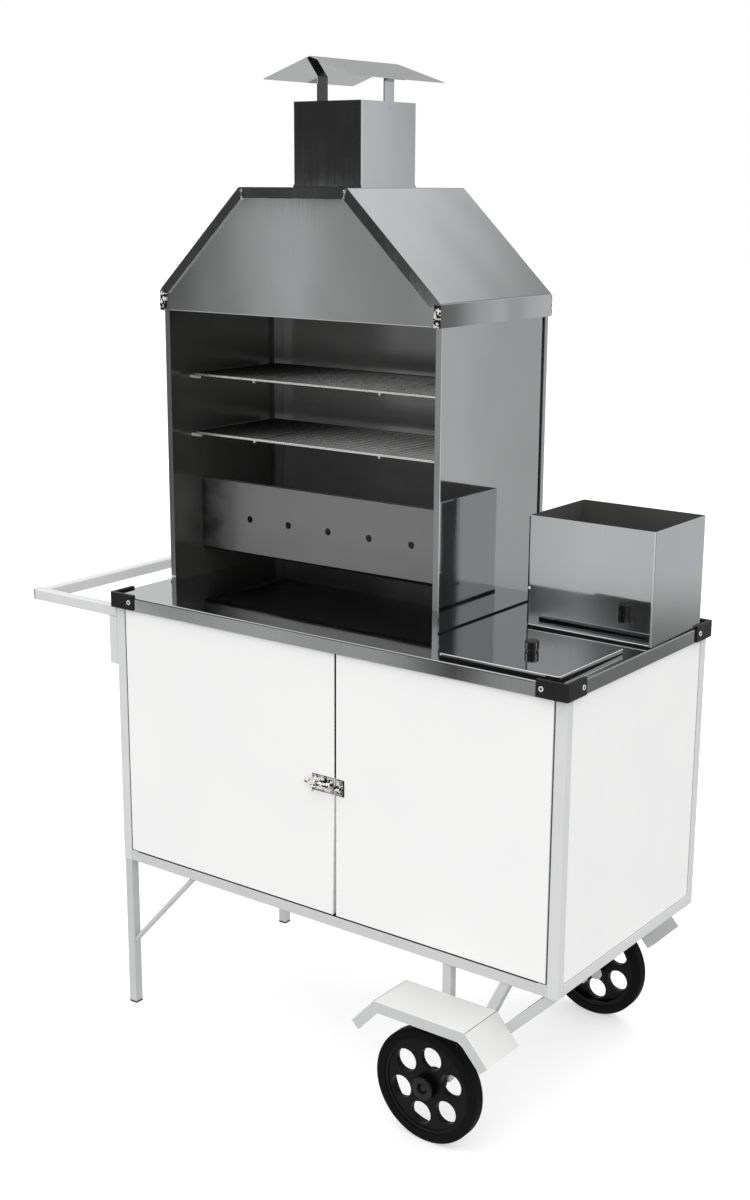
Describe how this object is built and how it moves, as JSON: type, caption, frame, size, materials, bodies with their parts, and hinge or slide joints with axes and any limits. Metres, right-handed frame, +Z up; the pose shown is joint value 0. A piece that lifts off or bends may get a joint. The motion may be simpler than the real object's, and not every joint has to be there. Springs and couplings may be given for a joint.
{
  "type": "barbecue cart",
  "caption": "Wheeled barbecue cart: a hooded charcoal oven, open bin and lidded well on a polished worktop over a white cabinet with doors, legs and a push handle.",
  "frame": {"origin": "on the floor, under the middle of the part's bounding box", "axes": "+X along the front to the right (from the handle to the bin), +Y to the back, +Z up"},
  "size_m": [1.1776, 0.656, 1.7465],
  "materials": {
    "frame_paint": "satin white paint",
    "panel_paint": "gloss white paint",
    "mirror_steel": "mirror polish",
    "firebox_steel": "dark mill finish",
    "wire_steel": "plated wire",
    "bright_nickel": "nickel plate",
    "axle_steel": "drawn bar",
    "black_plastic": "moulded",
    "wheel_plastic": "moulded",
    "tyre_rubber": "solid rubber"
  },
  "bodies": {
    "cart": {"posts_left": "frame_paint", "posts_right": "frame_paint", "legs": "frame_paint", "leg_braces": "frame_paint", "rails_bottom_long": "frame_paint", "rails_bottom_side": "frame_paint", "rails_top_long": "frame_paint", "rails_top_side": "frame_paint", "struts_upright": "frame_paint", "struts_corner": "frame_paint", "struts_middle": "frame_paint", "fender_front": "frame_paint", "fender_rear": "frame_paint", "handle_arms": "frame_paint", "handle_uprights": "frame_paint", "handle_grip": "frame_paint", "panel_left": "panel_paint", "panel_right": "panel_paint", "panel_back": "panel_paint", "cabinet_floor": "panel_paint", "worktop": "mirror_steel", "well": "mirror_steel", "oven_wall_left": "mirror_steel", "oven_wall_right": "mirror_steel", "oven_back": "mirror_steel", "hood_wrap": "mirror_steel", "hood_front": "mirror_steel", "hood_back": "mirror_steel", "chimney": "mirror_steel", "chimney_cap": "mirror_steel", "cap_straps": "mirror_steel", "firebox_front": "firebox_steel", "firebox_floor": "firebox_steel", "grate_pegs": "wire_steel", "guard_screws": "bright_nickel", "rivets": "bright_nickel", "axle": "axle_steel", "axle_collars": "axle_steel", "corner_guards": "black_plastic", "foot_caps": "black_plastic", "handle_caps": "black_plastic"},
    "door_left": {"door_left": "panel_paint", "pins_left": "axle_steel", "latch_plate": "bright_nickel", "latch_screws": "bright_nickel"},
    "latch_bolt": {"latch_bolt": "bright_nickel"},
    "door_right": {"door_right": "panel_paint", "pins_right": "axle_steel", "latch_keeper": "bright_nickel", "keeper_screws": "bright_nickel"},
    "wheel_front": {"wheel_disc_front": "wheel_plastic", "tyre_front": "tyre_rubber"},
    "wheel_rear": {"wheel_disc_rear": "wheel_plastic", "tyre_rear": "tyre_rubber"},
    "lid": {"lid": "mirror_steel", "lid_knob": "black_plastic"},
    "bin": {"bin_box": "mirror_steel"},
    "grate_upper": {"grate_upper": "wire_steel"},
    "grate_lower": {"grate_lower": "wire_steel"}
  },
  "joints": [
    {"name": "door_left_hinge", "type": "hinge", "parent": "cart", "child": "door_left", "pos_m": [-0.33825, -0.229, 0.5554], "axis": [0, 0, 1], "range_deg": [-100, 0]},
    {"name": "door_right_hinge", "type": "hinge", "parent": "cart", "child": "door_right", "pos_m": [0.54975, -0.229, 0.5554], "axis": [0, 0, 1], "range_deg": [0, 100]},
    {"name": "latch_bolt_slide", "type": "slide", "parent": "door_left", "child": "latch_bolt", "axis": [1, 0, 0], "range_m": [0, 0.014]},
    {"name": "wheel_front_spin", "type": "hinge", "parent": "cart", "child": "wheel_front", "pos_m": [0.36975, -0.279, 0.1], "axis": [0, 1, 0], "continuous": true},
    {"name": "wheel_rear_spin", "type": "hinge", "parent": "cart", "child": "wheel_rear", "pos_m": [0.36975, 0.279, 0.1], "axis": [0, 1, 0], "continuous": true},
    {"name": "lid_lift", "type": "slide", "parent": "cart", "child": "lid", "axis": [0, 0, 1], "range_m": [0, 0.15]},
    {"name": "bin_lift", "type": "slide", "parent": "cart", "child": "bin", "axis": [0, 0, 1], "range_m": [0, 0.25]},
    {"name": "grate_upper_slide", "type": "slide", "parent": "cart", "child": "grate_upper", "axis": [0, -1, 0], "range_m": [0, 0.2]},
    {"name": "grate_lower_slide", "type": "slide", "parent": "cart", "child": "grate_lower", "axis": [0, -1, 0], "range_m": [0, 0.2]}
  ]
}
